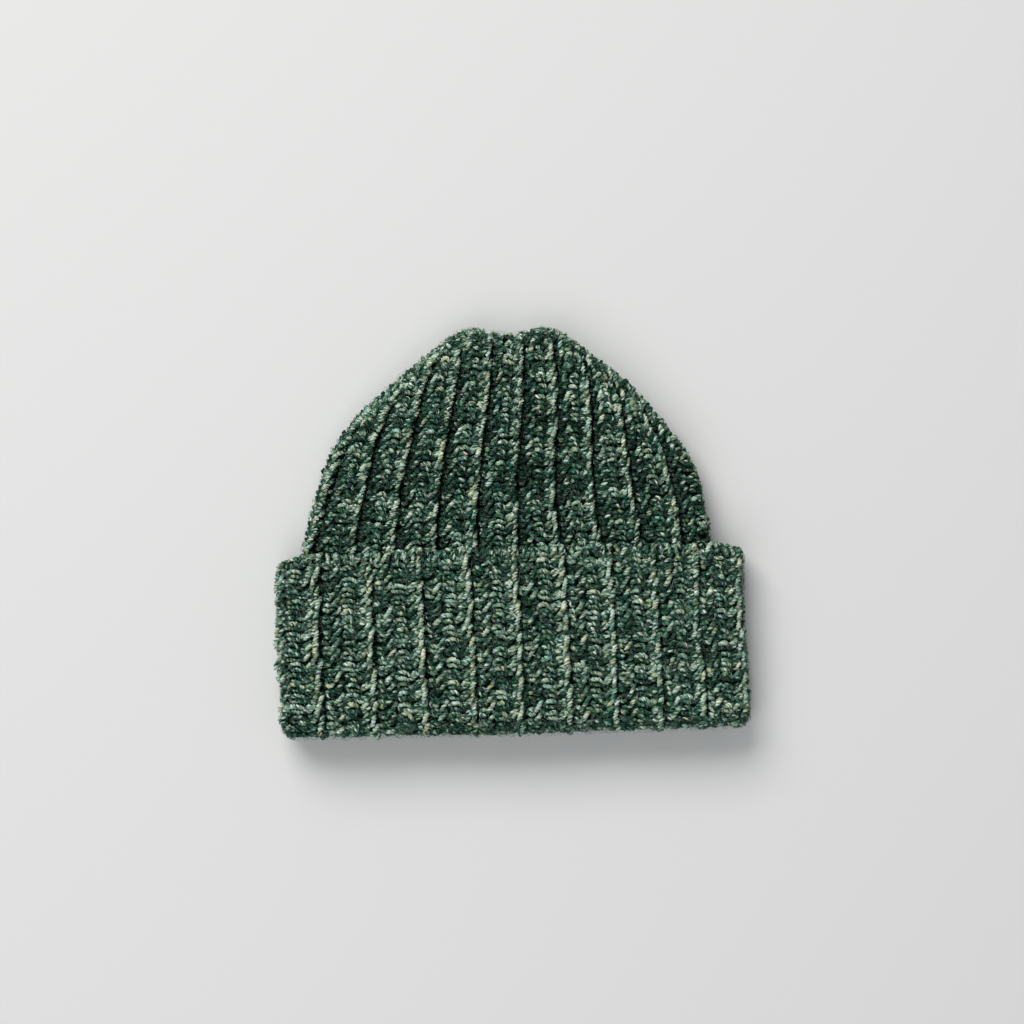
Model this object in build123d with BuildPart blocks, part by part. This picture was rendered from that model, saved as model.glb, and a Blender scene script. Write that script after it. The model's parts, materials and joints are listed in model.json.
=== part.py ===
from build123d import *
import os

# A ribbed beanie lying flat with its cuff turned up. +X runs across the hat, +Y from the bottom fold to
# the crown, and +Z up from the surface it lies on. The origin is under the middle of the hat. All in mm.

# Driving dimensions
hat_width = 230.0  # over the outside of the cuff
hat_length = 195.5  # crown to the line that the cuff turns about, inside the soft bend of the fold
cuff_height = 89.5
fabric = 5.0  # thickness of one layer of ribbing
layer_gap = 0.35  # between layers that move past each other
hollow = 5.4  # height of the inside where the hat lies flattest
crown_half_width = 100.0  # of the crown part where it comes out of the cuff
gather_half_width = 21.0  # of the bunched row ends along the top edge
yarn = 2.0  # sewing lengths of the yarn
seam_width = 3.0
seam_x = 5.6  # the seam runs beside the back's middle row

# Levels, from the table up
back_cuff_top = fabric
body_bottom = back_cuff_top + layer_gap
floor_inside = body_bottom + fabric
ceiling_inside = floor_inside + hollow
body_top = ceiling_inside + fabric
front_cuff_bottom = body_top + layer_gap
hat_top = front_cuff_bottom + fabric

# Places along Y and X
fold_y = -hat_length / 2
crown_y = hat_length / 2
brim_edge_y = fold_y + cuff_height
cuff_half = hat_width / 2
body_half = cuff_half - fabric - layer_gap
mouth_overrun = 12.0  # how far the cutting shapes run past the open end
step_start_y = brim_edge_y + 4.0  # where the back starts to sink to the table, past the cuff
step_end_y = step_start_y + 18.0
crown_nose = 8.0  # rounding of the crown's top edge, seen from the side
edge_round = 4.0  # rounding of the body's outline edges
tail_offset = 9.0  # sideways from the seam, or from the hat's middle, to a woven-in yarn end
crown_tail_length = 60.0
brim_tail_length = 48.0
gather_length = 22.0  # of the oval ring of gathering yarn
gather_height = 9.4
stitch_length = 14.0
stitch_angle = 14.0
lip_round = 1.5  # along the fold and the brim edge

# Planes that look along Y: at the fold, and at the end of the inside at mid-height
fold_plane = Plane.XZ.offset(-fold_y)
gather_middle = (fabric + ceiling_inside) / 2
gather_plane = Plane((0, crown_y - fabric, gather_middle), x_dir=(1, 0, 0), z_dir=(0, -1, 0))

os.makedirs("parts", exist_ok=True)


def crown_outline(inset):
    """Half of the hat's flat outline, from the open end to the middle of the top edge, drawn in by inset."""
    side = Vector(crown_half_width - body_half, cuff_height).normalized()
    shoulder = Vector(-1, 0.45).normalized()
    dome = [
        Vector(crown_half_width, brim_edge_y),
        Vector(crown_half_width - 9, brim_edge_y + 40),
        Vector(crown_half_width - 23, brim_edge_y + 63),
        Vector(crown_half_width - 45, brim_edge_y + 83),
        Vector(crown_half_width - 66, brim_edge_y + 98),
        Vector(gather_half_width, crown_y),
    ]
    chords = [(after - before).normalized() for before, after in zip(dome, dome[2:])]
    headings = [side, *chords, shoulder]
    drawn_in = [point + heading.rotate(Axis.Z, 90) * inset for point, heading in zip(dome, headings)]
    open_end = drawn_in[0] - side * (cuff_height + mouth_overrun)
    Line((0, open_end.Y), open_end)
    Line(open_end, drawn_in[0])
    Spline(*drawn_in, tangents=(side, shoulder))
    Line(drawn_in[-1], (0, drawn_in[-1].Y))


def side_profile(inset):
    """The hat's flat thickness seen along X, as (y, z) points, drawn in by inset on every closed side."""
    open_y = fold_y - mouth_overrun
    Polyline(
        (open_y, body_bottom + inset),
        (step_start_y, body_bottom + inset),
        (step_end_y, inset),
        (crown_y - inset, inset),
        (crown_y - inset, body_top - inset),
        (open_y, body_top - inset),
        close=True,
    )


def inner_floor(start_y, end_y, depth):
    """A strip of the inside's floor seen along X, as a closed (y, z) outline, let in to the given depth."""
    turn = floor_inside
    low = fabric
    Polyline(
        (start_y, turn),
        (step_start_y, turn),
        (step_end_y, low),
        (end_y, low),
        (end_y, low - depth),
        (step_end_y, low - depth),
        (step_start_y, turn - depth),
        (start_y, turn - depth),
        close=True,
    )


# The room inside the body, which the head goes into
with BuildPart() as hollow_space:
    with BuildSketch():
        with BuildLine():
            crown_outline(fabric)
            mirror(about=Plane.YZ)
        make_face()
    extrude(amount=hat_top)
    with BuildSketch(Plane.YZ):
        with BuildLine():
            side_profile(fabric)
        make_face()
    extrude(amount=cuff_half, both=True, mode=Mode.INTERSECT)

# Seam yarn along the inside of the back layer, from the mouth to the crown
with BuildPart() as body_seam:
    with BuildSketch(Plane.YZ.offset(seam_x)):
        with BuildLine():
            inner_floor(fold_y, crown_y - 4 * fabric, yarn)
        make_face()
    extrude(amount=seam_width / 2, both=True)

# Woven-in end of the gathering yarn, in the inside of the front layer
with BuildPart() as crown_tail:
    with BuildSketch(Plane.XY.offset(ceiling_inside)):
        with Locations((tail_offset, crown_y - 4 * fabric - crown_tail_length / 2)):
            SlotOverall(crown_tail_length, yarn, rotation=90)
    extrude(amount=yarn)

# Crown part of the fabric: a flat tube, open at the fold and closed at the gathered end
with BuildPart() as body:
    with BuildSketch():
        with BuildLine():
            crown_outline(0)
            mirror(about=Plane.YZ)
        make_face()
    extrude(amount=body_top)
    long_edges = body.edges().filter_by(Plane.XY).sort_by(Axis.Y)[2:]
    fillet(long_edges, edge_round)
    with BuildSketch(Plane.YZ):
        with BuildLine():
            side_profile(0)
        make_face()
        crown_corners = vertices().group_by(Axis.X)[-1]
        fillet(crown_corners, crown_nose)
    extrude(amount=cuff_half, both=True, mode=Mode.INTERSECT)
    split(bisect_by=fold_plane, keep=Keep.BOTTOM)
    add(hollow_space.part, mode=Mode.SUBTRACT)
    add(body_seam.part, mode=Mode.SUBTRACT)
    add(crown_tail.part, mode=Mode.SUBTRACT)

# Gathering yarn: an oval ring through the row ends, against the inside of the crown
with BuildPart() as gathering_yarn:
    with BuildSketch(gather_plane):
        SlotOverall(gather_length, gather_height)
        SlotOverall(gather_length - 2 * yarn, gather_height - 2 * yarn, mode=Mode.SUBTRACT)
    extrude(amount=yarn)
    fillet(gathering_yarn.edges().filter_by(Axis.Y, reverse=True), yarn * 0.4)

# Closing stitches: two lengths of yarn that cross inside the gathering ring
with BuildPart() as closing_stitches:
    with BuildSketch(gather_plane):
        SlotOverall(stitch_length, yarn, rotation=stitch_angle)
        SlotOverall(stitch_length, yarn, rotation=-stitch_angle)
    extrude(amount=yarn)


def cuff_panel(level, outer_level):
    """Cross-section of a front or back cuff layer: full width where it meets the body, narrower outside."""
    Polyline(
        (-body_half, level),
        (body_half, level),
        (body_half - fabric, outer_level),
        (-body_half + fabric, outer_level),
        close=True,
    )


def cuff_side(side):
    """Cross-section of the cuff where it goes round the body's side, which is +1 or -1."""
    inner = side * (body_half + layer_gap)
    outer = side * cuff_half
    Polyline(
        (inner, body_bottom),
        (inner, body_top),
        (outer, body_top - fabric),
        (outer, body_bottom + fabric),
        close=True,
    )


# Front layer of the turned-up cuff
with BuildPart() as cuff_front:
    with BuildSketch(fold_plane):
        with BuildLine():
            cuff_panel(front_cuff_bottom, hat_top)
        make_face()
    extrude(amount=-cuff_height)
    fillet(cuff_front.edges().group_by(Axis.Z)[-1].filter_by(Axis.X), lip_round)

# Seam yarn along the cuff's back layer, on the face that lies against the body
with BuildPart() as cuff_seam:
    with BuildSketch(Plane.XY.offset(back_cuff_top - yarn)):
        with Locations((seam_x, fold_y + cuff_height / 2)):
            Rectangle(seam_width, cuff_height)
    extrude(amount=yarn)

# Woven-in end of the yarn at the brim edge, beside the seam
with BuildPart() as brim_tail:
    with BuildSketch(Plane.XY.offset(back_cuff_top - yarn)):
        with Locations((seam_x + tail_offset, brim_edge_y - fabric - brim_tail_length / 2)):
            SlotOverall(brim_tail_length, yarn, rotation=90)
    extrude(amount=yarn)

# Back layer of the turned-up cuff, which the hat lies on
with BuildPart() as cuff_back:
    with BuildSketch(fold_plane):
        with BuildLine():
            cuff_panel(back_cuff_top, 0)
        make_face()
    extrude(amount=-cuff_height)
    add(cuff_seam.part, mode=Mode.SUBTRACT)
    add(brim_tail.part, mode=Mode.SUBTRACT)

# Sides of the turned-up cuff
with BuildPart() as cuff_left:
    with BuildSketch(fold_plane):
        with BuildLine():
            cuff_side(-1)
        make_face()
    extrude(amount=-cuff_height)

with BuildPart() as cuff_right:
    with BuildSketch(fold_plane):
        with BuildLine():
            cuff_side(1)
        make_face()
    extrude(amount=-cuff_height)

pieces = {
    "body": body,
    "cuff_front": cuff_front,
    "cuff_back": cuff_back,
    "cuff_left": cuff_left,
    "cuff_right": cuff_right,
    "body_seam": body_seam,
    "cuff_seam": cuff_seam,
    "gathering_yarn": gathering_yarn,
    "closing_stitches": closing_stitches,
    "crown_tail": crown_tail,
    "brim_tail": brim_tail,
}
for name, piece in pieces.items():
    piece.part.label = name
    export_step(piece.part, f"parts/{name}.step")
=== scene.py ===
import json
import math

import bpy
import numpy as np
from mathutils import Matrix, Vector


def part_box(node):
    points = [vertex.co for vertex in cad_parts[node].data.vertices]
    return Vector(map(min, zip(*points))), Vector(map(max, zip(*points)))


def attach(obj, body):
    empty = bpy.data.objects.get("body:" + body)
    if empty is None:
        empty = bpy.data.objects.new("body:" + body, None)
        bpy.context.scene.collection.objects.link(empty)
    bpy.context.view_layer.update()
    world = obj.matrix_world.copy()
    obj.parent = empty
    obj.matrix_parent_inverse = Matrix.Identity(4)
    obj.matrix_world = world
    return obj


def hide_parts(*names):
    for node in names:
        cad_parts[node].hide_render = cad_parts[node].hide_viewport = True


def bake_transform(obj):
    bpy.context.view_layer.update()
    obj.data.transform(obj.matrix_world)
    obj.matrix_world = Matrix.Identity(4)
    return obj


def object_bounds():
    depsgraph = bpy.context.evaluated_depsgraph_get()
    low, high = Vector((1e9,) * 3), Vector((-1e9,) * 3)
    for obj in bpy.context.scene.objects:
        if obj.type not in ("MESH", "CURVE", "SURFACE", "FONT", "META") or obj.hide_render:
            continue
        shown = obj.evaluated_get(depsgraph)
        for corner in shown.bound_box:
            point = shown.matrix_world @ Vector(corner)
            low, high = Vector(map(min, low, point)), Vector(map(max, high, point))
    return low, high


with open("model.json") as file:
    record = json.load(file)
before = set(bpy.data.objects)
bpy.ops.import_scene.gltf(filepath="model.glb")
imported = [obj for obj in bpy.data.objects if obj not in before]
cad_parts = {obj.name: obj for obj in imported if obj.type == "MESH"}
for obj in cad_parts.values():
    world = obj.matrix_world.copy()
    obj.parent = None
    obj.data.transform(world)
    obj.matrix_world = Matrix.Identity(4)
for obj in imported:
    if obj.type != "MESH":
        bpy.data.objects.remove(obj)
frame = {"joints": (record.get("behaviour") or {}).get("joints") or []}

# A crocheted ribbed beanie, built stitch by stitch. The fabric is one surface that runs from the gathered
# crown down the body, round the bottom fold and up the cuff. Every row of crochet lies along that surface,
# and its yarn is a tube that follows loops drawn once for a stitch. Lengths are in millimetres until a
# mesh is made, and mm turns them into metres.
cad_low, cad_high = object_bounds()
mm = 0.001


def box_mm(node):
    """Where a node's box starts and ends, in millimetres."""
    low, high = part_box(node)
    return np.array(low) / mm, np.array(high) / mm


body_low, body_high = box_mm("body")
front_low, front_high = box_mm("cuff_front")
back_top = box_mm("cuff_back")[1][2]
side_bottom = box_mm("cuff_right")[0][2]
hinge_at = {joint["name"]: np.array(joint["pos_m"]) / mm for joint in frame["joints"]}

# Levels and places, from the frame
fabric = front_high[2] - front_low[2]
body_top_mid = body_high[2] - fabric / 2
body_under_cuff_mid = side_bottom + fabric / 2
table_mid = back_top - fabric / 2
cuff_top_mid = front_high[2] - fabric / 2
turn_axis_z = hinge_at["cuff_turn"][2]
corner_x = hinge_at["cuff_right_turn"][0]
fold_y = body_low[1]
brim_y = front_high[1]
middle_z = (cuff_top_mid + table_mid) / 2

# The rows of crochet round the hat: across the front, round one side, across the back, round the other
front_rows = 19
side_rows = 2
rows = 2 * (front_rows + side_rows)
row_width = 11.6
stitch = 5.25
edge_share = 0.74  # of a ring's half height, where the front and back give way to the sides

# The bend of the fold, between the body and the cuff
turn_radius = (cuff_top_mid - body_top_mid) / 2
turn_y = hinge_at["cuff_turn"][1] + turn_radius

# The yarn has three plies. Each is four points of its outline, as shares of the radius
yarn_radius = 1.04
ply_profile = (0.68, 0.93, 1.04, 0.93)
yarn_sides = 3 * len(ply_profile)
ply_pitch = 4.6  # along the yarn, for one turn of its plies


def through(x, xs, ys):
    """A smooth curve through a few points, read at x."""
    xs, ys = np.asarray(xs, float), np.asarray(ys, float)
    slopes = np.gradient(ys, xs)
    i = np.clip(np.searchsorted(xs, x) - 1, 0, len(xs) - 2)
    span = xs[i + 1] - xs[i]
    t = np.clip((x - xs[i]) / span, 0, 1)
    a = (1 + 2 * t) * (1 - t) ** 2 * ys[i] + t * (1 - t) ** 2 * span * slopes[i]
    return a + t * t * (3 - 2 * t) * ys[i + 1] - t * t * (1 - t) * span * slopes[i + 1]


def ease(x, low, high):
    """Rises softly from 0 at low to 1 at high."""
    t = np.clip((x - low) / (high - low), 0, 1)
    return t * t * (3 - 2 * t)


# ---------------------------------------------------------------- the fabric's surface

def stations():
    """The hat's cross-section rings, from the gathered hole in the crown to the brim edge.
    Each has a place y, a half width and half height, a middle level, and how its rows spread and stand."""
    # the lip of the crown comes up out of the gathered hole and turns over to the outside
    knots = np.arange(6)
    walk = np.linspace(0, 5, 61)
    lip_y = through(walk, knots, [90.0, 92.8, 94.3, 93.2, 90.0, 84.5])
    lip_half = through(walk, knots, [9.0, 12.0, 17.0, 22.6, 28.6, 36.2])
    lip_height = through(walk, knots, [2.6, 3.0, 4.6, 6.5, 7.5, 7.8])
    lip_level = np.full(len(walk), (body_top_mid + table_mid) / 2)

    y = np.arange(84.0, turn_y, -1.0)
    outline_y = [turn_y - 1, brim_y, brim_y + 40, brim_y + 63, brim_y + 83, 84.5]
    outline = [107.15, 97.5, 88.0, 71.6, 48.8, 36.2]
    half = through(y, outline_y, outline)
    bottom = table_mid + (body_under_cuff_mid - table_mid) * ease(-y, -brim_y - 22, -brim_y - 4)
    height = (body_top_mid - bottom) / 2
    level = (body_top_mid + bottom) / 2

    bend = np.linspace(0, math.pi, 25)
    bend_y = turn_y - turn_radius * np.sin(bend)
    bend_half = corner_x - turn_radius * np.cos(bend)
    bend_height = turn_axis_z - middle_z - turn_radius * np.cos(bend)

    up = np.arange(turn_y + 1, brim_y - 0.9, 1.0)
    curl = ease(up, brim_y - 5, brim_y)
    cuff_half = np.full(len(up), corner_x + turn_radius) - 1.2 * curl
    cuff_height = np.full(len(up), turn_axis_z - middle_z + turn_radius) - 1.5 * curl

    table = {
        "y": np.concatenate([lip_y, y, bend_y, up]),
        "half": np.concatenate([lip_half, half, bend_half, cuff_half]),
        "height": np.concatenate([lip_height, height, bend_height, cuff_height]),
        "level": np.concatenate([lip_level, level, np.full(len(bend) + len(up), middle_z)]),
    }
    number = np.arange(len(table["y"]))
    gather_rings = 16
    table["body_end"] = len(lip_y) + len(y)
    table["turn_end"] = table["body_end"] + len(bend)
    on_body = number < table["body_end"]
    body_y = np.where(on_body, table["y"], -100)
    # over the crown the middle rows keep most of their width, and the others bunch up at the shoulders
    crown_row = through(body_y, [-20, 26, 80, 96], [9.4, 9.2, 7.9, 7.4])
    gathered_row = through(number, [0, gather_rings / 2, gather_rings], [2.0, 4.0, 7.0])
    table["row"] = np.where(number < gather_rings, gathered_row, crown_row)
    table["edge_height"] = np.where(on_body, edge_share - 0.4 * ease(body_y, 20, 80), edge_share)
    table["roundness"] = np.where(on_body, 2.2, 3.0)
    # the rows wind round a little over the crown, and drift to the right on the way to the fold
    table["twist"] = np.where(on_body, through(body_y, [-60, 0, 26, 80], [0, -0.2, -0.19, 0.2]), 0)
    cuff_share = np.clip((table["y"] - fold_y) / (brim_y - fold_y), 0, 1)
    table["drift"] = np.where(on_body, 9 * ease(-body_y, 0, 90), 9 - 3 * cuff_share)
    # the ribs are deepest on the crown, flat round the fold and shallow on the cuff
    body_relief = (3.3 + 1.2 * ease(body_y, 0, 70)) * ease(body_y, -60, 0)
    cuff_relief = np.where(number < table["turn_end"], 0, -1.0 * ease(table["y"], -94, -86))
    table["relief"] = np.where(on_body, body_relief, cuff_relief)
    return table


ring_table = stations()
body_end, turn_end = ring_table["body_end"], ring_table["turn_end"]
station_count = len(ring_table["y"])


def ring(position, table):
    """Points round every ring: position is in rows, and 0 to 19 is the front, from left to right."""
    p = np.mod(position + table["twist"], rows)
    front = (p <= front_rows + 1) | (p >= rows - 1)
    across = np.where(p >= rows - 1, p - rows, p) - front_rows / 2
    across = np.where(front, across, rows - side_rows - front_rows / 2 - p)
    flat = np.abs(across) / (front_rows / 2)
    steep = 2 * table["half"] / table["height"]
    power = table["roundness"]
    edge_height = table["edge_height"]
    edge = (1 - edge_height**power) ** (1 / steep)
    spread = np.maximum(table["row"] * front_rows / 2 / (edge * table["half"]), 1.0)
    bunch = 7.0
    full = spread / (1 + (spread**bunch - 1)) ** (1 / bunch)
    crowded = spread * flat / (1 + (spread**bunch - 1) * flat**bunch) ** (1 / bunch)
    plate_x = edge * crowded / full
    plate_z = np.maximum(1 - plate_x**steep, 0) ** (1 / power)
    side_share = np.clip(np.abs(across) - front_rows / 2, 0, 1)
    side_z = edge_height * (1 - side_share)
    side_x = (1 - side_z**power) ** (1 / steep)
    on_plate = flat <= 1
    x = np.where(on_plate, plate_x, side_x) * np.sign(across) * table["half"]
    z = np.where(on_plate, plate_z, side_z) * np.where(front, 1, -1)
    x = x + np.where(on_plate, table["drift"] * (1 - np.minimum(flat, 1) ** 3), 0)
    return x, table["level"] + z * table["height"]


def settle(x, y, z, table):
    """How this hat lies: the fold rises to the right, the crown dips, and nothing is quite straight."""
    on_cuff = np.arange(station_count)[:, None] >= turn_end
    # the fold rises towards its right end
    right = np.clip((x + 5) / 110, 0, 1)
    y = y + 2.0 * right**1.2 * ease(-y, 15, 95) * ease(-y, 0, 95)
    # the brim edge waves from rib to rib, and leans in at its right end
    near_brim = ease(y, -95, brim_y) * on_cuff
    edge = ease(y, brim_y - 9, brim_y) * on_cuff
    rib_wave, stitch_wave = 23.4, 5.3
    y = y + edge * (0.7 * np.cos(2 * math.pi * (x - 2) / rib_wave) + 0.35 * np.sin(x / stitch_wave))
    x = x - 1.6 * ease(x, 40, 115) * near_brim
    # both sides bend in and out a little
    x = x + 0.7 * np.sin(y / 17 + 0.8) * ease(np.abs(x), 40, 110)
    # the brim edge's corners are rounded, and its left end hangs
    corner = np.clip((np.abs(x) - 102) / 12, 0, 1) ** 2
    y = y - 6.0 * corner * ease(y, brim_y - 16, brim_y) * on_cuff
    y = y - 2.6 * ease(-x, 10, 110) * near_brim
    # the fold's corners are rounded too
    x = x - np.sign(x) * 0.7 * ease(-table["y"], 88, 100) ** 2 * ease(np.abs(x), 95, 112)
    # the crown sits a little to the left of the cuff, with a dent in each side
    x = x - 1.9 * ease(y, -40, -8) * (1 - ease(y, 15, 65)) * ~on_cuff
    left_dent = 2.6 * np.exp(-(((y - 24) / 15) ** 2)) * ease(-x, 55, 95)
    right_dent = 2.4 * np.exp(-(((y - 54) / 13) ** 2)) * ease(x, 40, 75)
    x = x + (left_dent - right_dent) * ~on_cuff
    # two dips and two swells along the top edge
    at_top = ease(y, 84, 95)
    dips = -2.8 * np.exp(-(((x - 2) / 4) ** 2)) - 1.2 * np.exp(-(((x + 10) / 3) ** 2))
    swells = 0.8 * np.exp(-(((x + 20) / 7) ** 2)) + 0.6 * np.exp(-(((x - 16) / 9) ** 2))
    y = y + at_top * (dips + swells)
    # the upper layer of the crown rises towards the top, with a bowl right of its middle
    above = z > table["level"]
    crown = ease(y, brim_y + 4, brim_y + 30)
    bowl = -3.6 * np.exp(-(((x - 20) / 24) ** 2) - ((y - 32) / 24) ** 2)
    swell = 0.8 * np.sin(x / 21 + 0.5) * np.cos(y / 25)
    rise = 3.4 * ease(y, 5, 66) * (1 - (x / 110) ** 2)
    z = z + np.where(above, crown * (bowl + swell + rise), 0)
    ripple = 0.35 * np.sin(x / 13 + 1.7) * np.sin(y / 19)
    z = z + np.where(above, ripple, 0)
    return x, y, z


def past_chain(place, station):
    """How many rows a ring place is past the last chain line, on the face that is outermost there."""
    first_line = np.where(station < turn_end, 0.04, 1.04)
    return np.mod(place - first_line, 2)


ring_samples = 8


def make_surface():
    """The fabric's middle surface as a grid of points and outward normals, [station, place round]."""
    position = np.arange(rows * ring_samples + 1) / ring_samples
    table = {name: value[:, None] for name, value in ring_table.items() if np.ndim(value)}
    x, z = ring(position[None, :], table)
    y = np.broadcast_to(table["y"], x.shape)
    points = np.stack(settle(x, y, z, table), axis=-1)
    along = np.gradient(points, axis=0)
    closed = np.concatenate([points[:, -2:-1], points, points[:, 1:2]], axis=1)
    round_ring = closed[:, 2:] - closed[:, :-2]
    normals = np.cross(along, round_ring)
    normals /= np.maximum(np.linalg.norm(normals, axis=-1, keepdims=True), 1e-9)
    # a groove runs down the right of every chain line, and the rib beyond it is rounded
    past = past_chain(position[None, :], np.arange(station_count)[:, None])
    groove = np.exp(-(((past - 0.26) / 0.17) ** 2))
    rounded = 0.34 * np.cos(math.pi * (past - 1.25))
    relief = table["relief"] * (rounded - groove)
    points = points + normals * relief[..., None]
    return points, normals


surface, surface_normal = make_surface()


def on_surface(station, place, lift):
    """Points at a float station and ring place, raised from the middle of the fabric by lift."""
    station = np.clip(station, 0, station_count - 1.001)
    column = np.mod(place, rows) * ring_samples
    i, j = station.astype(int), column.astype(int)
    a, b = (station - i)[:, None], (column - j)[:, None]

    def read(grid):
        low = grid[i, j] * (1 - b) + grid[i, j + 1] * b
        high = grid[i + 1, j] * (1 - b) + grid[i + 1, j + 1] * b
        return low * (1 - a) + high * a

    normal = read(surface_normal)
    normal /= np.maximum(np.linalg.norm(normal, axis=1, keepdims=True), 1e-9)
    return read(surface) + normal * lift[:, None]


def row_lengths(row):
    """Length along the middle of a row, from the gathered hole to each station."""
    line = surface[:, int((row + 0.5) * ring_samples)]
    steps = np.linalg.norm(np.diff(line, axis=0), axis=1)
    return np.concatenate([[0], np.cumsum(steps)])


# ---------------------------------------------------------------- the stitches

# One half double crochet, as points (across the row, along it, out of the fabric) in millimetres, each
# with the yarn's fullness there. The next stitch is the same again, one stitch further along. The front
# shows the free loop, which makes the raised chain line, and the arches of the stitch. The back shows two
# short bumps and one long slanting strand.
front_loops = np.array([
    (11.4, -1.1, 1.7, 1.1),
    (11.9, 1.4, 3.0, 1.4),
    (12.7, 4.2, 3.1, 1.4),
    (13.2, 6.0, 1.7, 1.1),
    (12.3, 6.7, 0.5, 1.0),
    (10.9, 6.3, 0.9, 1.05),
    (9.4, 5.2, 1.6, 1.15),
    (8.0, 3.9, 1.5, 1.1),
    (6.7, 2.7, 0.8, 1.0),
    (5.9, 3.4, 1.0, 1.0),
    (4.5, 4.6, 1.7, 1.15),
    (2.7, 4.9, 2.0, 1.2),
    (0.9, 4.3, 1.6, 1.1),
    (0.0, 3.0, 0.6, 1.0),
    (1.2, 2.0, 1.0, 1.05),
    (3.3, 2.1, 1.5, 1.2),
    (5.6, 1.3, 0.9, 1.05),
    (7.8, 1.6, 0.9, 1.0),
    (9.3, 3.0, 2.0, 1.2),
    (10.4, 4.5, 2.1, 1.25),
])
back_loops = np.array([
    (11.2, -0.5, -0.6, 1.0),
    (10.2, 0.8, -1.6, 1.15),
    (8.9, 2.5, -2.1, 1.25),
    (7.6, 4.2, -1.8, 1.15),
    (6.9, 5.4, -0.8, 1.0),
    (6.5, 6.4, -1.2, 1.05),
    (5.5, 6.6, -1.9, 1.2),
    (4.0, 6.2, -1.4, 1.1),
    (3.4, 5.3, -0.6, 1.0),
    (4.0, 4.1, -1.3, 1.05),
    (5.5, 3.9, -1.8, 1.2),
    (6.7, 4.3, -1.0, 1.0),
    (7.7, 4.8, -0.4, 0.95),
    (9.6, 4.6, -0.6, 1.0),
])
front_face, back_face = 1, -1


def row_path(row, loops, first, last, stitches=None, squash=1.0, lightness=1.0):
    """The yarn of one face of a row, from one station to another: its points, its fullness, and how far
    each point stands out of the fabric, times the lightness and less the painted shade on it, which sets
    the painted light and shade in its colour. A squash below 1 lays its stitches flat."""
    turned = 1 if row % 2 else -1
    lengths = row_lengths(row)
    start, end = lengths[first], lengths[last]
    count = max(1, round((end - start) / stitch)) if stitches is None else stitches
    pitch = (end - start) / count
    draws = np.random.default_rng(1000 + row * 7 + (0 if loops is front_loops else 3) + first)
    index = np.arange(count)[:, None]
    across = np.repeat(loops[None, :, 0], count, axis=0)
    along = np.repeat(loops[None, :, 1], count, axis=0) / stitch
    out = np.repeat(loops[None, :, 2], count, axis=0)
    # every stitch differs a little from the next, and so does every bend of its yarn
    loose = draws.normal(0, 1, (count, 4))
    across = across + 0.45 * loose[:, :1] + draws.normal(0, 0.22, across.shape)
    along = along + 0.06 * loose[:, 1:2] + draws.normal(0, 0.04, along.shape)
    out = out * (1 + 0.15 * loose[:, 2:3]) + draws.normal(0, 0.16, out.shape)
    out = squash * out
    if turned > 0:
        place_along = end - (index + along) * pitch
    else:
        place_along = start + (index + along) * pitch
    full = np.repeat(loops[None, :, 3], count, axis=0) * (1 + 0.06 * loose[:, 3:4])
    points = np.stack([across, place_along, out * turned, full], axis=-1).reshape(-1, 4)
    points[:, 1] = np.clip(points[:, 1], start - 0.1, end + 0.1)
    fine = smooth_line(points, 2)
    station = np.interp(fine[:, 1], lengths, np.arange(station_count))
    place = row + fine[:, 0] / row_width
    line = on_surface(station, place, fine[:, 2])
    return line, fine[:, 3], lightness * np.abs(fine[:, 2]) - painted_shade(line, station, place)


def painted_shade(line, station, place):
    """How much painted shade darkens the yarn below what its height in the fabric gives it, in
    millimetres of that height.
    """
    on_body = station < body_end
    # painted shade: the crown is darker than the cuff
    dark = np.where(on_body, through(line[:, 1], [-98, -25, 40, 95], [0, 0.4, 0.5, 0.2]), 0)
    # painted shade too on the yarn deep beside every chain line, and in the hollow of the crown
    valley = np.exp(-(((past_chain(place, station) - 0.4) / 0.28) ** 2))
    dark = dark + valley * (0.5 + 1.1 * ease(line[:, 1], -70, 0) * on_body)
    hollow = np.exp(-(((line[:, 0] - 12) / 14) ** 2) - ((line[:, 1] - 24) / 14) ** 2)
    dark = dark + 0.9 * hollow * (line[:, 2] > middle_z) * on_body
    # and the cuff is darker towards its right end
    return dark + 0.3 * ease(line[:, 0], 20, 110) * ~on_body


def edge_path(row_from, row_to):
    """The yarn that wraps over the row ends along the brim edge."""
    wrap_spacing = 3.9
    wraps = round((row_to - row_from) * row_width / wrap_spacing)
    points_each = 8
    draws = np.random.default_rng(900 + row_from)
    turn = np.arange(wraps * points_each + 1) / points_each
    loose = np.interp(turn, np.arange(wraps + 1), draws.normal(0, 1, wraps + 1))
    height = row_lengths(row_from)[-1]
    across = row_from + (row_to - row_from) * turn / wraps + 0.03 * loose
    out = (1.9 + 0.4 * loose) * np.cos(turn * 2 * math.pi) - 0.3
    along = height - 2.2 + 2.2 * np.sin(turn * 2 * math.pi + 0.5 * loose)
    station = np.interp(along, row_lengths(row_from), np.arange(station_count))
    return smooth_line(on_surface(station, across, out), 2)


def smooth_line(points, steps):
    """A Catmull-Rom line through the points, with that many steps from one to the next."""
    padded = np.concatenate([2 * points[:1] - points[1:2], points, 2 * points[-1:] - points[-2:-1]])
    a, b, c, d = padded[:-3], padded[1:-2], padded[2:-1], padded[3:]
    parts = []
    for t in np.arange(steps) / steps:
        curve = 2 * b + (c - a) * t + (2 * a - 5 * b + 4 * c - d) * t**2 + (3 * b - a - 3 * c + d) * t**3
        parts.append(curve / 2)
    line = np.stack(parts, axis=1).reshape(-1, points.shape[1])
    return np.concatenate([line, points[-1:]])


# ---------------------------------------------------------------- yarn as a mesh

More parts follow.
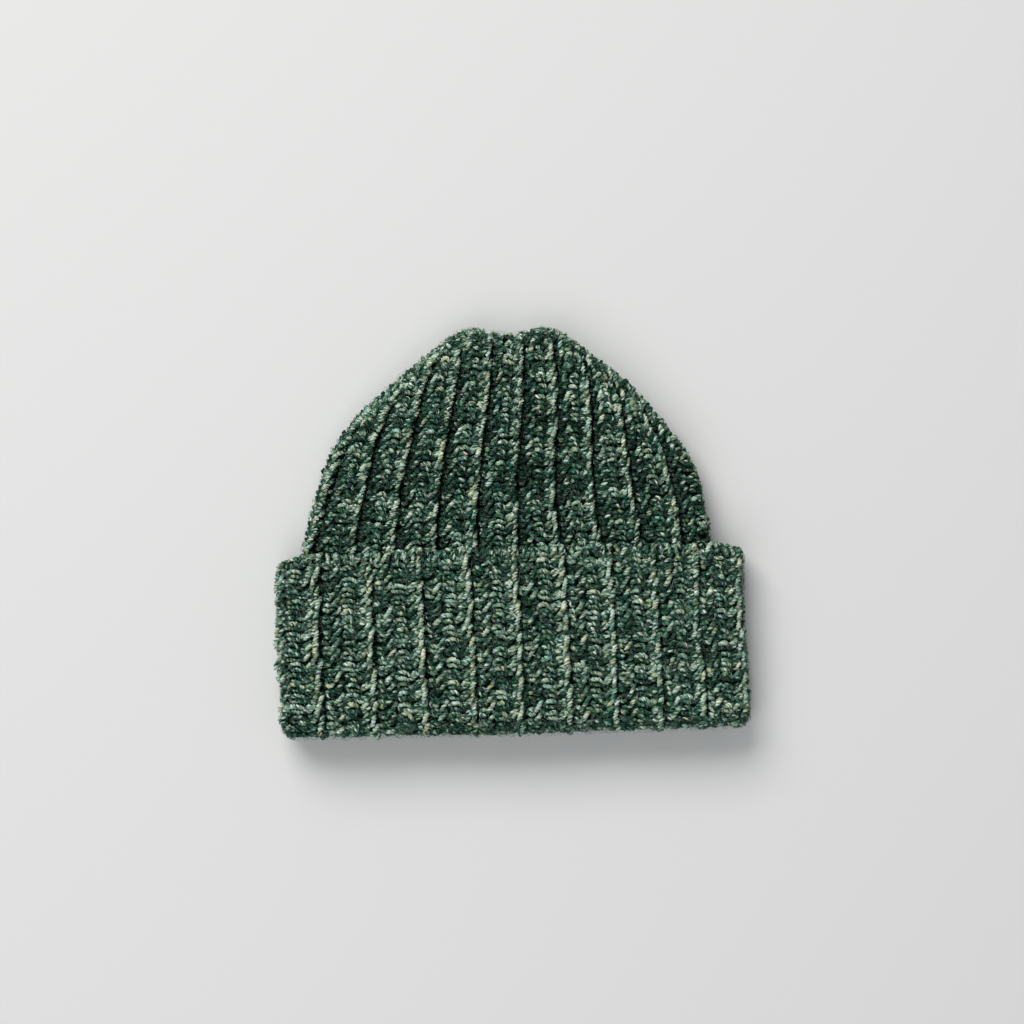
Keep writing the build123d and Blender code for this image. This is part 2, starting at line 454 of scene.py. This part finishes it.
def frames_along(line):
    """Two directions square to the line at each point, carried along it without spinning."""
    tangent = np.gradient(line, axis=0)
    tangent /= np.maximum(np.linalg.norm(tangent, axis=1, keepdims=True), 1e-9)
    first = np.cross(tangent[0], (0.3, 0.5, 0.8))
    current = first / np.linalg.norm(first)
    normals = np.empty_like(line)
    for i, t in enumerate(tangent):
        current = current - t * (current @ t)
        current = current / math.sqrt(current @ current)
        normals[i] = current
    return normals, np.cross(tangent, normals)


def kept_above_table(points):
    """Flattens what would reach below the table, within the last millimetre above it."""
    z = points[..., 2]
    points[..., 2] = np.where(z < 1, np.exp(np.minimum(z, 1) - 1), z)
    return points


class Yarn:
    """Collects tubes of three-ply yarn and makes one mesh of them."""

    def __init__(self):
        self.points, self.faces, self.strand, self.raised, self.count = [], [], [], [], 0

    def add(self, line, fullness=1.0, raised=1.4, radius=yarn_radius, seed=0):
        """One strand along a line. The further out of the fabric it stands, the lighter it is painted:
        painted light on yarn that stands out and painted shade on deep yarn.
        """
        line = np.asarray(line, float)
        n = len(line)
        draws = np.random.default_rng(seed)
        normal, other = frames_along(line)
        steps = np.linalg.norm(np.diff(line, axis=0), axis=1)
        length = np.concatenate([[0], np.cumsum(steps)])
        # the yarn is thicker and thinner every few millimetres, and both its ends are drawn in
        swell_spacing = 9.0
        swells = np.arange(0, length[-1] + 2 * swell_spacing, swell_spacing)
        slow = np.interp(length, swells, draws.normal(0, 1, len(swells)))
        thickness = radius * fullness * (1 + 0.08 * slow)
        thickness[[0, -1]] *= 0.25
        turn = length / ply_pitch * 2 * math.pi
        around = np.arange(yarn_sides) / yarn_sides * 2 * math.pi
        angle = turn[:, None] + around[None, :]
        out = thickness[:, None] * np.tile(ply_profile, 3)[None, :]
        tube = line[:, None] + (np.cos(angle) * out)[..., None] * normal[:, None]
        tube = kept_above_table(tube + (np.sin(angle) * out)[..., None] * other[:, None])
        i, j = np.meshgrid(np.arange(n - 1), np.arange(yarn_sides), indexing="ij")
        k = (j + 1) % yarn_sides
        near, far = i * yarn_sides, (i + 1) * yarn_sides
        quads = np.stack([near + j, near + k, far + k, far + j], axis=-1)
        start = draws.uniform(0, 400)
        u = np.stack([length[i], length[i], length[i + 1], length[i + 1]], axis=-1) + start
        v = np.stack([j, j + 1, j + 1, j], axis=-1) / yarn_sides
        self.points.append(tube.reshape(-1, 3))
        self.raised.append(np.repeat(raised * np.ones(n), yarn_sides))
        self.faces.append((quads + self.count).reshape(-1, 4))
        self.strand.append(np.stack([u, v], axis=-1).reshape(-1, 4, 2))
        self.count += n * yarn_sides

    def build(self, name):
        """The collected yarn as one piece. Its Strand layer holds the way along the yarn, in centimetres,
        and round it, and a layer on its points holds how far each point stands out of the fabric, less
        painted shade, which sets the painted light and shade in its colour."""
        strand = np.concatenate(self.strand) * (0.1, 1)
        mesh = tube_mesh(name, np.concatenate(self.points), np.concatenate(self.faces), yarn_sides)
        layer = mesh.uv_layers.new(name="Strand")
        layer.data.foreach_set("uv", strand.astype(np.float32).ravel())
        raised = mesh.attributes.new("raised", "FLOAT", "POINT")
        raised.data.foreach_set("value", np.concatenate(self.raised).astype(np.float32))
        return new_piece(name, mesh, tweed)


def tube_mesh(name, points, faces, sides):
    """A smooth mesh of four-cornered faces, with room for a baked picture of them."""
    mesh = bpy.data.meshes.new(name)
    mesh.vertices.add(len(points))
    mesh.vertices.foreach_set("co", (points * mm).astype(np.float32).ravel())
    mesh.loops.add(len(faces) * 4)
    mesh.loops.foreach_set("vertex_index", faces.astype(np.int32).ravel())
    mesh.polygons.add(len(faces))
    mesh.polygons.foreach_set("loop_start", np.arange(len(faces), dtype=np.int32) * 4)
    mesh.update(calc_edges=True)
    mesh.polygons.foreach_set("use_smooth", np.ones(len(faces), bool))
    pack = mesh.uv_layers.new(name="OFBake")
    pack.data.foreach_set("uv", packed_strips(len(faces), sides).astype(np.float32).ravel())
    return mesh


def packed_strips(face_count, sides):
    """Lays the tubes' faces out in the unit square: each step along a yarn is one short row of cells."""
    steps = face_count // sides
    cell_aspect = 2.0
    margin = 0.04
    lanes = max(1, round(math.sqrt(steps / (sides * cell_aspect))))
    per_lane = math.ceil(steps / lanes)
    step = np.repeat(np.arange(steps), sides)
    side = np.tile(np.arange(sides), steps)
    lane, place = step // per_lane, step % per_lane
    low_x = (lane + margin + (1 - 2 * margin) * side / sides) / lanes
    high_x = (lane + margin + (1 - 2 * margin) * (side + 1) / sides) / lanes
    low_y, high_y = place / per_lane, (place + 1) / per_lane
    corners = [(low_x, low_y), (high_x, low_y), (high_x, high_y), (low_x, high_y)]
    return np.stack([np.stack(corner, axis=-1) for corner in corners], axis=1)


def new_piece(name, mesh, material):
    """A piece of the hat, with its material."""
    mesh.materials.append(material)
    piece = bpy.data.objects.new(name, mesh)
    bpy.context.scene.collection.objects.link(piece)
    return piece


# ---------------------------------------------------------------- materials

def new_material(name):
    """A material with its nodes, its links and its shader."""
    material = bpy.data.materials.new(name)
    material.use_nodes = True
    nodes, links = material.node_tree.nodes, material.node_tree.links
    return material, nodes, links, nodes["Principled BSDF"]


def colour_ramp(nodes, links, value, stops):
    """The colour that the value picks between the stops, each of them a place and a colour."""
    ramp = nodes.new("ShaderNodeValToRGB")
    elements = ramp.color_ramp.elements
    while len(elements) < len(stops):
        elements.new(0.5)
    for element, (where, colour) in zip(elements, stops):
        element.position = where
        element.color = (*colour, 1)
    links.new(value, ramp.inputs[0])
    return ramp.outputs[0]


def tweed_material():
    """Marled yarn: every ply takes its own run of teal, green, sage and khaki along the yarn, with
    painted light and shade by how far the yarn stands out, and painted glints.
    """
    material, nodes, links, shader = new_material("tweed_yarn")

    def add(kind, **settings):
        node = nodes.new(kind)
        for key, value in settings.items():
            setattr(node, key, value)
        return node

    def math_node(operation, a, b=None):
        node = add("ShaderNodeMath", operation=operation)
        for slot, value in zip(node.inputs, (a, b)):
            if isinstance(value, (int, float)):
                slot.default_value = value
            elif value is not None:
                links.new(value, slot)
        return node.outputs[0]

    def map_range(value, start, end, low=0.0, high=1.0):
        node = add("ShaderNodeMapRange")
        node.inputs["From Min"].default_value = start
        node.inputs["From Max"].default_value = end
        node.inputs["To Min"].default_value = low
        node.inputs["To Max"].default_value = high
        links.new(value, node.inputs["Value"])
        return node.outputs[0]

    strand = add("ShaderNodeUVMap", uv_map="Strand")
    split = add("ShaderNodeSeparateXYZ")
    links.new(strand.outputs[0], split.inputs[0])
    length, angle = split.outputs[0], split.outputs[1]
    # which of the three plies it is: just under 3, so that the last one reaches all the way round
    ply = math_node("FLOOR", math_node("MULTIPLY", angle, 2.999))

    def streaks(scale_along, scale_round, detail, per_ply):
        """Noise that is drawn out along the yarn, and differs from ply to ply."""
        place = add("ShaderNodeCombineXYZ")
        links.new(math_node("MULTIPLY", length, scale_along), place.inputs[0])
        links.new(math_node("MULTIPLY", angle, scale_round), place.inputs[1])
        links.new(math_node("MULTIPLY", ply, per_ply), place.inputs[2])
        noise = add("ShaderNodeTexNoise")
        noise.inputs["Scale"].default_value = 1.0
        noise.inputs["Detail"].default_value = detail
        links.new(place.outputs[0], noise.inputs["Vector"])
        return noise.outputs[0]

    marl = streaks(2.2, 0.0, 2.0, 0.95)
    dye = streaks(0.22, 0.0, 1.0, 0.0)
    fibres = streaks(3.0, 40.0, 2.0, 5.1)
    painted_glint = streaks(5.0, 16.0, 0.0, 9.7)

    # the marl picks a green, with painted light on loops that stand out and painted shade on deep ones,
    # and lighter in patches of the dye
    raised = add("ShaderNodeAttribute", attribute_name="raised").outputs["Fac"]
    painted_light = math_node("MULTIPLY", math_node("SUBTRACT", raised, 1.4), 0.055)
    patches = math_node("MULTIPLY", math_node("SUBTRACT", dye, 0.5), 0.5)
    lightness = math_node("ADD", marl, math_node("ADD", painted_light, patches))
    green = colour_ramp(nodes, links, lightness, [
        (0.37, (0.0004, 0.013, 0.006)),
        (0.45, (0.002, 0.040, 0.023)),
        (0.515, (0.036, 0.130, 0.084)),
        (0.57, (0.235, 0.314, 0.214)),
        (0.66, (0.490, 0.575, 0.450)),
    ])
    hue = colour_ramp(nodes, links, streaks(0.8, 0.0, 1.0, 0.5), [
        (0.36, (0.63, 1.01, 1.10)),
        (0.64, (1.19, 1.04, 0.71)),
    ])
    dyed = add("ShaderNodeVectorMath", operation="MULTIPLY")
    links.new(green, dyed.inputs[0])
    links.new(hue, dyed.inputs[1])
    flecked = add("ShaderNodeVectorMath", operation="SCALE")
    links.new(dyed.outputs[0], flecked.inputs[0])
    links.new(map_range(fibres, 0.33, 0.67, 0.35, 1.8), flecked.inputs["Scale"])

    # painted glints: small white flecks painted into the colour as highlights, nearly all on light yarn
    on_light = map_range(lightness, 0.47, 0.57, 0.12)
    mix = add("ShaderNodeMix", data_type="RGBA")
    links.new(math_node("MULTIPLY", map_range(painted_glint, 0.61, 0.63), on_light), mix.inputs["Factor"])
    links.new(flecked.outputs[0], mix.inputs["A"])
    mix.inputs["B"].default_value = (0.96, 1.0, 0.99, 1)
    links.new(mix.outputs["Result"], shader.inputs["Base Color"])

    bump = add("ShaderNodeBump")
    bump.inputs["Strength"].default_value = 0.6
    bump.inputs["Distance"].default_value = 0.0003
    links.new(fibres, bump.inputs["Height"])
    links.new(bump.outputs[0], shader.inputs["Normal"])
    shader.inputs["Roughness"].default_value = 0.66
    shader.inputs["Specular IOR Level"].default_value = 0.05
    shader.inputs["Sheen Weight"].default_value = 0.05
    shader.inputs["Sheen Roughness"].default_value = 0.4
    return material


def speckled_material(name, scale, stops, roughness, specular):
    """A matt material whose colour wanders between two stops from place to place."""
    material, nodes, links, shader = new_material(name)
    place = nodes.new("ShaderNodeTexCoord")
    noise = nodes.new("ShaderNodeTexNoise")
    noise.inputs["Scale"].default_value = scale
    links.new(place.outputs["Object"], noise.inputs["Vector"])
    links.new(colour_ramp(nodes, links, noise.outputs[0], stops), shader.inputs["Base Color"])
    shader.inputs["Roughness"].default_value = roughness
    shader.inputs["Specular IOR Level"].default_value = specular
    return material


def floor_material():
    """Plain pale paper under the hat."""
    material, _, _, shader = new_material("pale_floor")
    shader.inputs["Base Color"].default_value = (0.8, 0.805, 0.8, 1)
    shader.inputs["Roughness"].default_value = 0.9
    return material


tweed = tweed_material()
# painted shade: a near-black sheet through the middle of the fabric, dark in the gaps between the loops
shade_sheet_stops = [(0, (0.0005, 0.002, 0.0015)), (1, (0.003, 0.010, 0.007))]
shade_sheet_material = speckled_material("painted_shade_sheet", 900, shade_sheet_stops, roughness=0.95, specular=0.05)
# loose fibres, in the yarn's dark and light greens
fibre_stops = [(0.4, (0.012, 0.085, 0.068)), (0.62, (0.240, 0.370, 0.290))]
loose_fibre = speckled_material("loose_fibre", 260, fibre_stops, roughness=0.6, specular=0.2)


# ---------------------------------------------------------------- pieces

mouth_start = body_end - 22  # the inside's loops are only made near the mouth, where they show
brim_end = station_count - 1


def rows_piece(name, row_list, first, last):
    """The yarn of some rows, on both faces of the fabric, but inside the body only near its mouth."""
    yarn = Yarn()
    for row in row_list:
        turned = 1 if row % 2 else -1
        for loops, face in ((front_loops, front_face), (back_loops, back_face)):
            outward = face * turned
            start = mouth_start if first == 0 and outward < 0 else first
            stitches, squash, lightness = None, 1.0, 1.0
            # round the fold the stitches are few and lie flatter, most of all on its inner face, whose
            # loops get three times the painted light for their height
            if first == body_end:
                stitches, squash, lightness = (2, 0.3, 3.0) if outward > 0 else (3, 0.6, 1.0)
            line, fullness, raised = row_path(row, loops, start, last, stitches, squash, lightness)
            yarn.add(line, fullness, raised, seed=row * 10 + face + 1)
    if last == brim_end:
        yarn.add(edge_path(row_list[0], row_list[-1] + 1), seed=row_list[0] + 5)
    return yarn.build(name)


def grid_piece(name, first, last, row_from, row_to):
    """A thin near-black sheet through the middle of the fabric, painted shade in the gaps between the
    loops, from one station and row to another.
    """
    half_thick = 0.35
    station = np.arange(first, last + 1)
    place = np.arange(row_from * ring_samples, row_to * ring_samples + 1, 2) / ring_samples
    whole = row_to - row_from == rows
    if whole:
        place = place[:-1]
    n, m = len(station), len(place)
    s, p = np.meshgrid(station.astype(float), place, indexing="ij")
    layers = [on_surface(s.ravel(), p.ravel(), np.full(n * m, lift)) for lift in (half_thick, -half_thick)]
    below = n * m
    faces = []
    wrap = m if whole else m - 1
    for i in range(n - 1):
        for j in range(wrap):
            k = (j + 1) % m
            a, b, c, d = i * m + j, i * m + k, (i + 1) * m + k, (i + 1) * m + j
            faces.append((a, b, c, d))
            faces.append((d + below, c + below, b + below, a + below))
    for i in (0, n - 1):
        for j in range(wrap):
            a, b = i * m + j, i * m + (j + 1) % m
            rim = (b, a, a + below, b + below)
            faces.append(rim if i == 0 else rim[::-1])
    if not whole:
        for j in (0, m - 1):
            for i in range(n - 1):
                a, b = i * m + j, (i + 1) * m + j
                rim = (a, b, b + below, a + below)
                faces.append(rim if j == 0 else rim[::-1])
    mesh = bpy.data.meshes.new(name)
    mesh.from_pydata((np.concatenate(layers) * mm).tolist(), [], faces)
    mesh.polygons.foreach_set("use_smooth", np.ones(len(mesh.polygons), bool))
    return new_piece(name, mesh, shade_sheet_material)


def fuzz_piece(name, count, stations, places, face):
    """Short loose fibres that arc off one face of the fabric, 1 for its outside on the body."""
    sides = 3
    radius = 0.065
    taper = radius * np.array([1.0, 1.0, 0.9, 0.7, 0.3])
    steps = len(taper)
    draws = np.random.default_rng(len(name) + count)
    station = draws.uniform(*stations, count)
    place = draws.uniform(*places, count)
    heading = draws.uniform(0, 2 * math.pi, count)
    reach = draws.uniform(2.2, 5.2, count)
    rise = draws.uniform(0.9, 2.6, count)
    bow = draws.normal(0, 0.5, count)
    line = np.empty((count, steps, 3))
    for i, t in enumerate(np.linspace(0, 1, steps)):
        side_step = bow * 4 * t * (1 - t)
        along = station + (np.cos(heading) * t * reach - np.sin(heading) * side_step)
        across = place + (np.sin(heading) * t * reach + np.cos(heading) * side_step) / row_width
        lift = 1.3 + rise * math.sin(t * 2.4)
        line[:, i] = on_surface(np.clip(along, *stations), across, face * lift)
    tangent = np.gradient(line, axis=1)
    tangent /= np.maximum(np.linalg.norm(tangent, axis=-1, keepdims=True), 1e-9)
    normal = np.cross(tangent, (0.3, 0.5, 0.8))
    normal /= np.maximum(np.linalg.norm(normal, axis=-1, keepdims=True), 1e-9)
    other = np.cross(tangent, normal)
    angle = np.arange(sides) / sides * 2 * math.pi
    round_x = np.cos(angle)[None, None, :, None]
    round_y = np.sin(angle)[None, None, :, None]
    around = round_x * normal[:, :, None] + round_y * other[:, :, None]
    tube = kept_above_table(line[:, :, None] + taper[None, :, None, None] * around)
    n, i, j = np.meshgrid(np.arange(count), np.arange(steps - 1), np.arange(sides), indexing="ij")
    k = (j + 1) % sides
    near, far = (n * steps + i) * sides, (n * steps + i + 1) * sides
    faces = np.stack([near + j, near + k, far + k, far + j], axis=-1).reshape(-1, 4)
    mesh = tube_mesh(name, tube.reshape(-1, 3), faces, sides)
    return new_piece(name, mesh, loose_fibre)


for number, row_from in enumerate(range(0, rows, 6), 1):
    piece = rows_piece(f"body_ribs_{number:02d}", range(row_from, row_from + 6), 0, body_end)
    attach(piece, "hat")
    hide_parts("body")
fuzz = fuzz_piece("body_fuzz", 8200, (1, body_end), (0, rows), 1)
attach(fuzz, "hat")
shade_sheet = grid_piece("body_shade_sheet", 0, body_end, 0, rows)
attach(shade_sheet, "hat")

# The cuff's panels, in the order of their rows, and the body that each of them is part of
front_end = front_rows
right_end = front_end + side_rows
back_end = right_end + front_rows
panels = {
    "front": (range(0, front_end), "cuff_front"),
    "right": (range(front_end, right_end), "cuff_right"),
    "back": (range(right_end, back_end), "cuff_back"),
    "left": (range(back_end, rows), "cuff_left"),
}
# Where the front and back panels' folds start and end, as levels, which are closer together in their
# outermost rows
fold_levels = {
    "front": (body_top_mid, cuff_top_mid),
    "back": (body_under_cuff_mid, table_mid),
}
corner_levels = {
    name: (middle_z + 0.89 * (low - middle_z), middle_z + 0.76 * (high - middle_z))
    for name, (low, high) in fold_levels.items()
}
fuzz_per_row = 300


def add_fold(name, row_list):
    """The short bend between the body and a cuff panel, as its yarn and its painted shade sheet."""
    yarn_piece = rows_piece(f"{name}_fold", row_list, body_end, turn_end)
    shade_sheet_piece = grid_piece(f"{name}_fold_shade_sheet", body_end, turn_end, row_list[0], row_list[-1] + 1)
    for piece in (yarn_piece, shade_sheet_piece):
        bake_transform(piece)
    return [yarn_piece, shade_sheet_piece]


def add_panel(side_name, panel_rows, body_name):
    """One panel of the cuff: its rows of yarn, its loose fibres, its fold and its painted shade sheet."""
    is_side = side_name not in fold_levels
    on_panel = []
    parts = [panel_rows[i:i + 7] for i in range(0, len(panel_rows), 7)]
    for number, part in enumerate(parts, 1):
        piece = rows_piece(f"{body_name}_ribs_{number:02d}", part, turn_end, brim_end)
        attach(piece, body_name)
        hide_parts(body_name)
        on_panel.append(piece)
    fuzz_from = (body_end + turn_end) / 2
    fuzz_rows = (panel_rows[0], panel_rows[-1] + 1)
    fuzz_count = fuzz_per_row * len(panel_rows)
    fuzz = fuzz_piece(f"{body_name}_fuzz", fuzz_count, (fuzz_from, brim_end), fuzz_rows, -1)
    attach(fuzz, body_name)
    on_panel.append(fuzz)
    if is_side:
        on_panel += add_fold(side_name, panel_rows)
    else:
        spans = {
            side_name: (panel_rows[1:-1], fold_levels),
            f"{side_name}_first_corner": (panel_rows[:1], corner_levels),
            f"{side_name}_last_corner": (panel_rows[-1:], corner_levels),
        }
        for fold_name, (fold_rows, levels) in spans.items():
            on_panel += add_fold(fold_name, fold_rows)
    shade_sheet = grid_piece(f"{body_name}_ground", turn_end, brim_end, panel_rows[0], panel_rows[-1] + 1)
    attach(shade_sheet, body_name)


for side_name, (panel_rows, body_name) in panels.items():
    add_panel(side_name, panel_rows, body_name)


# ---------------------------------------------------------------- sewing yarn, hidden in the hat

sewing_radius = 0.85


def sewing_piece(node, body_name, lines):
    """Sewing yarn in the place of one of the frame's nodes."""
    yarn = Yarn()
    for number, line in enumerate(lines):
        yarn.add(line, radius=sewing_radius, seed=number + 40)
    piece = yarn.build(f"{node}_stitched")
    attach(piece, body_name)
    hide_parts(node)


def whip_stitches(node, level):
    """Yarn that winds along a seam, over and under its two edges, at a level that depends on y."""
    low, high = box_mm(node)
    stitches = round((high[1] - low[1]) / stitch)
    points_each = 8
    turn = np.arange(stitches * points_each + 1) / points_each
    y = low[1] + 1 + (high[1] - low[1] - 2) * turn / stitches
    middle_x = (low[0] + high[0]) / 2
    x = middle_x + 0.8 * np.cos(turn * 2 * math.pi)
    z = level(y) + 0.5 * np.sin(turn * 2 * math.pi)
    return smooth_line(np.stack([x, y, z], axis=-1), 2)


def woven_end(node, waves):
    """A yarn end run along under the loops of one row."""
    low, high = box_mm(node)
    middle = (low + high) / 2
    t = np.linspace(0, 1, 12 * waves + 1)
    y = low[1] + 0.5 + (high[1] - low[1] - 1) * t
    x = middle[0] + 0.3 * np.sin(2 * math.pi * waves * t)
    z = middle[2] + 0.25 * np.cos(2 * math.pi * waves * t)
    return np.stack([x, y, z], axis=-1)


seam_drop = 1.0  # from the top of a seam's node to the middle of its yarn
seam_top = box_mm("body_seam")[1][2]
cuff_seam_top = box_mm("cuff_seam")[1][2]


def body_seam_level(y):
    """The body's seam sinks past the cuff, where the back layer comes down to the table."""
    step_from, step_to = brim_y + 4, brim_y + 22
    sunk = np.clip((y - step_from) / (step_to - step_from), 0, 1)
    return seam_top - seam_drop - (seam_top - fabric) * sunk


def cuff_seam_level(y):
    """The cuff's seam lies level."""
    return np.full(len(y), cuff_seam_top - seam_drop)


sewing_piece("body_seam", "hat", [whip_stitches("body_seam", body_seam_level)])
sewing_piece("cuff_seam", "cuff_back", [whip_stitches("cuff_seam", cuff_seam_level)])
sewing_piece("crown_tail", "hat", [woven_end("crown_tail", 7)])
sewing_piece("brim_tail", "cuff_back", [woven_end("brim_tail", 6)])


def middle_and_reach(node):
    """The middle of a node's box, and how far the middle of its yarn goes from there."""
    low, high = box_mm(node)
    return (low + high) / 2, (high - low) / 2 - sewing_radius


def gathering_ring():
    """A flattened oval through the row ends, drawn tight."""
    middle, half = middle_and_reach("gathering_yarn")
    angle = np.linspace(0, 2 * math.pi, 97)
    squared = np.sign(np.cos(angle)) * np.abs(np.cos(angle)) ** 0.8
    x = middle[0] + half[0] * squared
    y = middle[1] + 0.2 * np.sin(9 * angle)
    z = middle[2] + half[2] * np.sin(angle)
    return np.stack([x, y, z], axis=-1)


def closing_stitch(way):
    """One of the two lengths that cross over the gathered hole, each bowed to its own side."""
    middle, half = middle_and_reach("closing_stitches")
    share = np.linspace(-1, 1, 25)
    x = middle[0] + half[0] * share
    y = middle[1] + way * 0.8 * (1 - share**2)
    z = middle[2] + way * half[2] * share
    return np.stack([x, y, z], axis=-1)


sewing_piece("gathering_yarn", "hat", [gathering_ring()])
sewing_piece("closing_stitches", "hat", [closing_stitch(1), closing_stitch(-1)])

# ---------------------------------------------------------------- stage, light and camera

floor_half = 3.0
floor_corners = [
    (-floor_half, -floor_half, 0),
    (floor_half, -floor_half, 0),
    (floor_half, floor_half, 0),
    (-floor_half, floor_half, 0),
]
floor_mesh = bpy.data.meshes.new("floor")
floor_mesh.from_pydata(floor_corners, [], [(0, 1, 2, 3)])
floor_mesh.materials.append(floor_material())
floor = bpy.data.objects.new("floor", floor_mesh)
bpy.context.scene.collection.objects.link(floor)
floor.location.z = cad_low.z

world = bpy.data.worlds.new("studio")
bpy.context.scene.world = world
world.use_nodes = True
sky = world.node_tree.nodes["Background"]
sky.inputs["Color"].default_value = (0.93, 0.97, 1.0, 1)
sky.inputs["Strength"].default_value = 0.25
bpy.context.scene.view_settings.view_transform = "Standard"


def area_light(name, location, size, power, colour=(1, 1, 1)):
    """A rectangular lamp that faces the hat."""
    data = bpy.data.lights.new(name, "AREA")
    data.shape = "RECTANGLE"
    data.size, data.size_y = size
    data.energy = power
    data.color = colour
    light = bpy.data.objects.new(name, data)
    light.location = location
    light.rotation_euler = (-Vector(location)).to_track_quat("-Z", "Y").to_euler()
    bpy.context.scene.collection.objects.link(light)


area_light("window", (-0.95, 2.0, 2.05), (2.1, 1.7), 72, (1.0, 0.985, 0.96))
area_light("ceiling", (-0.6, -0.9, 1.8), (1.8, 1.8), 13)

# The camera looks straight down on the hat, and is turned by one degree
camera_height = 1.25
view_width = 0.4985
aim_x, aim_y = 0.0005, 0.0087
camera_data = bpy.data.cameras.new("camera")
camera_data.sensor_width = 36
camera_data.lens = camera_data.sensor_width * (camera_height - cad_high.z) / view_width
camera = bpy.data.objects.new("camera", camera_data)
camera.location = (aim_x, aim_y, camera_height)
camera.rotation_euler.z = math.radians(-1.0)
bpy.context.scene.collection.objects.link(camera)
bpy.context.scene.camera = camera
